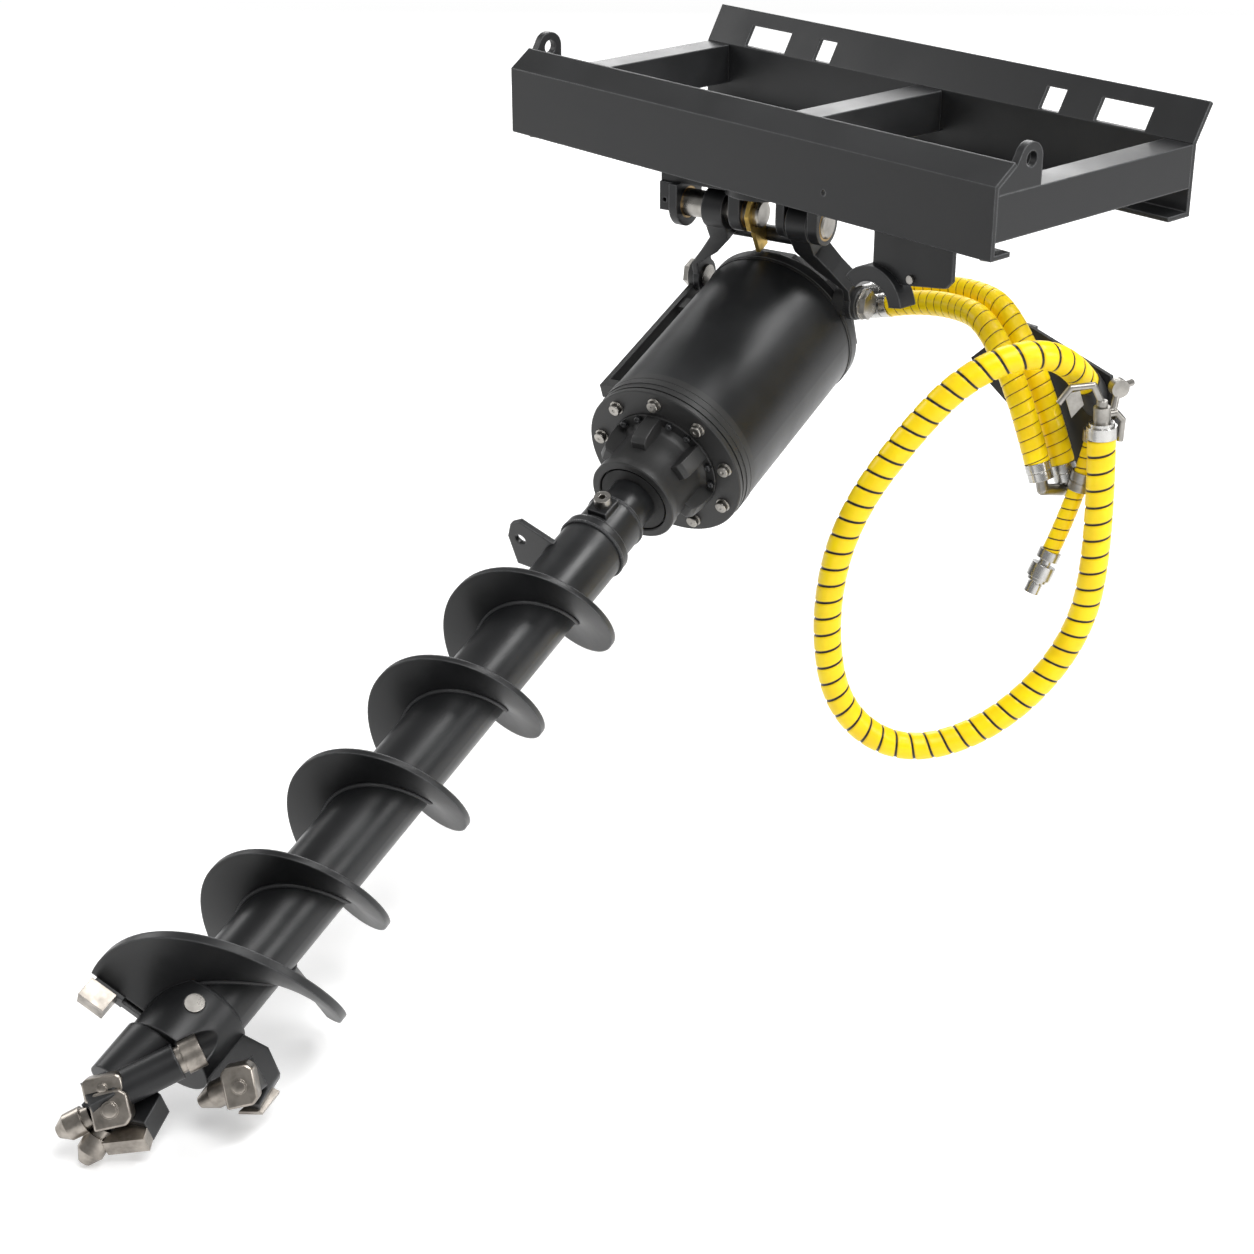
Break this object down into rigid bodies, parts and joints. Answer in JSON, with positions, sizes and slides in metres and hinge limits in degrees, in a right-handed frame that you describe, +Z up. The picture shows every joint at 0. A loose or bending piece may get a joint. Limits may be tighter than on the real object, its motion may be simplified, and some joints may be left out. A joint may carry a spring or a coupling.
{
  "type": "earth auger drive",
  "caption": "Loader-mounted earth auger: hydraulic planetary drive hung from a swivelling hitch frame, with a flighted auger, a toothed bit and yellow guarded hoses.",
  "frame": {"origin": "centre of the attachment face, the plane on top of the three frame tubes", "axes": "+X along the frame width, +Y from the front plate to the rear plate, +Z up"},
  "size_m": [1.2415, 2.1416, 1.1326],
  "materials": {
    "frame_steel": "satin charcoal paint",
    "drive_paint": "satin charcoal paint with fine rings",
    "auger_paint": "charcoal paint over welds",
    "fastener_steel": "plain zinc-grey steel",
    "tooth_steel": "ground hard steel",
    "fitting_steel": "bright plated fittings",
    "saddle_steel": "dark saddle with a bare rim",
    "brass": "brass-toned keeper",
    "bush_bronze": "plain bronze bushes",
    "gear_steel": "oiled gear steel",
    "seal_rubber": "black lip seal",
    "hose_guard": "yellow spiral hose guard"
  },
  "bodies": {
    "root": {"front_plate": "frame_steel", "rear_plate": "frame_steel", "side_tubes": "frame_steel", "centre_channel": "frame_steel", "lift_ears": "frame_steel", "frame_bolts": "fastener_steel", "hose_hanger": "frame_steel", "hose_saddle": "saddle_steel", "hitch_base_plate": "frame_steel", "kingpin_bushes": "bush_bronze"},
    "swivel": {"swivel_plate": "frame_steel", "kingpin": "fastener_steel", "kingpin_nut": "fastener_steel", "hinge_ears": "frame_steel", "ear_bushes": "bush_bronze"},
    "link": {"link_yoke": "frame_steel", "hinge_pins": "fastener_steel", "pin_keeper": "brass"},
    "drive": {"hood": "drive_paint", "hood_rear_cap": "drive_paint", "left_side_bar": "drive_paint", "right_cheek": "drive_paint", "trunnion_bolts": "fastener_steel", "front_flange": "drive_paint", "gearbox_nose": "drive_paint", "gearbox_bolts": "fastener_steel", "shaft_bearings": "gear_steel", "shaft_seal": "seal_rubber", "ring_gear": "gear_steel", "motor_plate": "gear_steel", "motor": "drive_paint", "port_adapters": "drive_paint", "hose_ferrules": "fitting_steel", "pressure_hose": "hose_guard", "return_hose": "hose_guard", "loop_hose": "hose_guard", "tail_hose": "hose_guard", "hose_fittings": "fitting_steel", "parking_bracket": "drive_paint", "clamp_body": "fitting_steel", "coupler_body": "fitting_steel"},
    "latch": {"clamp_latch": "fitting_steel"},
    "sleeve": {"coupler_sleeve": "fitting_steel"},
    "sun": {"sun_shaft": "gear_steel"},
    "planet_1": {"planet_gear_1": "gear_steel"},
    "planet_2": {"planet_gear_2": "gear_steel"},
    "planet_3": {"planet_gear_3": "gear_steel"},
    "auger": {"planet_carrier": "gear_steel", "output_shaft": "gear_steel", "drive_socket": "auger_paint", "socket_bolt": "fastener_steel", "auger_tube": "auger_paint", "auger_flights": "auger_paint", "lug_plate": "auger_paint", "bit_hub": "auger_paint", "hub_pin": "fastener_steel", "pilot": "auger_paint", "pilot_teeth": "tooth_steel", "tooth_holders": "auger_paint", "side_teeth": "tooth_steel"}
  },
  "joints": [
    {"name": "swivel_turn", "type": "hinge", "parent": "root", "child": "swivel", "pos_m": [0, -0.1685, -0.104], "axis": [0, 0, 1], "range_deg": [-40, 10]},
    {"name": "link_swing", "type": "hinge", "parent": "swivel", "child": "link", "pos_m": [0, -0.1685, -0.156], "axis": [0.9659, 0.2588, 0], "range_deg": [-45, 12]},
    {"name": "drive_swing", "type": "hinge", "parent": "link", "child": "drive", "pos_m": [-0.01553, -0.11054, -0.303], "axis": [0.9659, 0.2588, 0], "range_deg": [-8, 70]},
    {"name": "auger_spin", "type": "hinge", "parent": "drive", "child": "auger", "pos_m": [0.08078, -0.46996, -0.50867], "axis": [0.2432, -0.9077, -0.342], "continuous": true},
    {"name": "sun_spin", "type": "hinge", "parent": "drive", "child": "sun", "pos_m": [0.06473, -0.41006, -0.48609], "axis": [0.2432, -0.9077, -0.342], "continuous": true},
    {"name": "planet_1_spin", "type": "hinge", "parent": "auger", "child": "planet_1", "pos_m": [0.05915, -0.38924, -0.54529], "axis": [0.2432, -0.9077, -0.342], "continuous": true},
    {"name": "planet_2_spin", "type": "hinge", "parent": "auger", "child": "planet_2", "pos_m": [0.01481, -0.43458, -0.45649], "axis": [0.2432, -0.9077, -0.342], "continuous": true},
    {"name": "planet_3_spin", "type": "hinge", "parent": "auger", "child": "planet_3", "pos_m": [0.12021, -0.40634, -0.45649], "axis": [0.2432, -0.9077, -0.342], "continuous": true},
    {"name": "latch_turn", "type": "hinge", "parent": "drive", "child": "latch", "pos_m": [0.63746, -0.02904, -0.36782], "axis": [-0.0485, -0.0485, 0.9976], "range_deg": [-10, 35]},
    {"name": "sleeve_slide", "type": "slide", "parent": "drive", "child": "sleeve", "axis": [0.1559, 0.3702, 0.9158], "range_m": [0, 0.009], "stiffness_N_per_m": 900}
  ],
  "couplings": [
    {"joint": "sun_spin", "follows": "auger_spin", "ratio": 4.8},
    {"joint": "planet_1_spin", "follows": "auger_spin", "ratio": -2.7143},
    {"joint": "planet_2_spin", "follows": "auger_spin", "ratio": -2.7143},
    {"joint": "planet_3_spin", "follows": "auger_spin", "ratio": -2.7143}
  ]
}
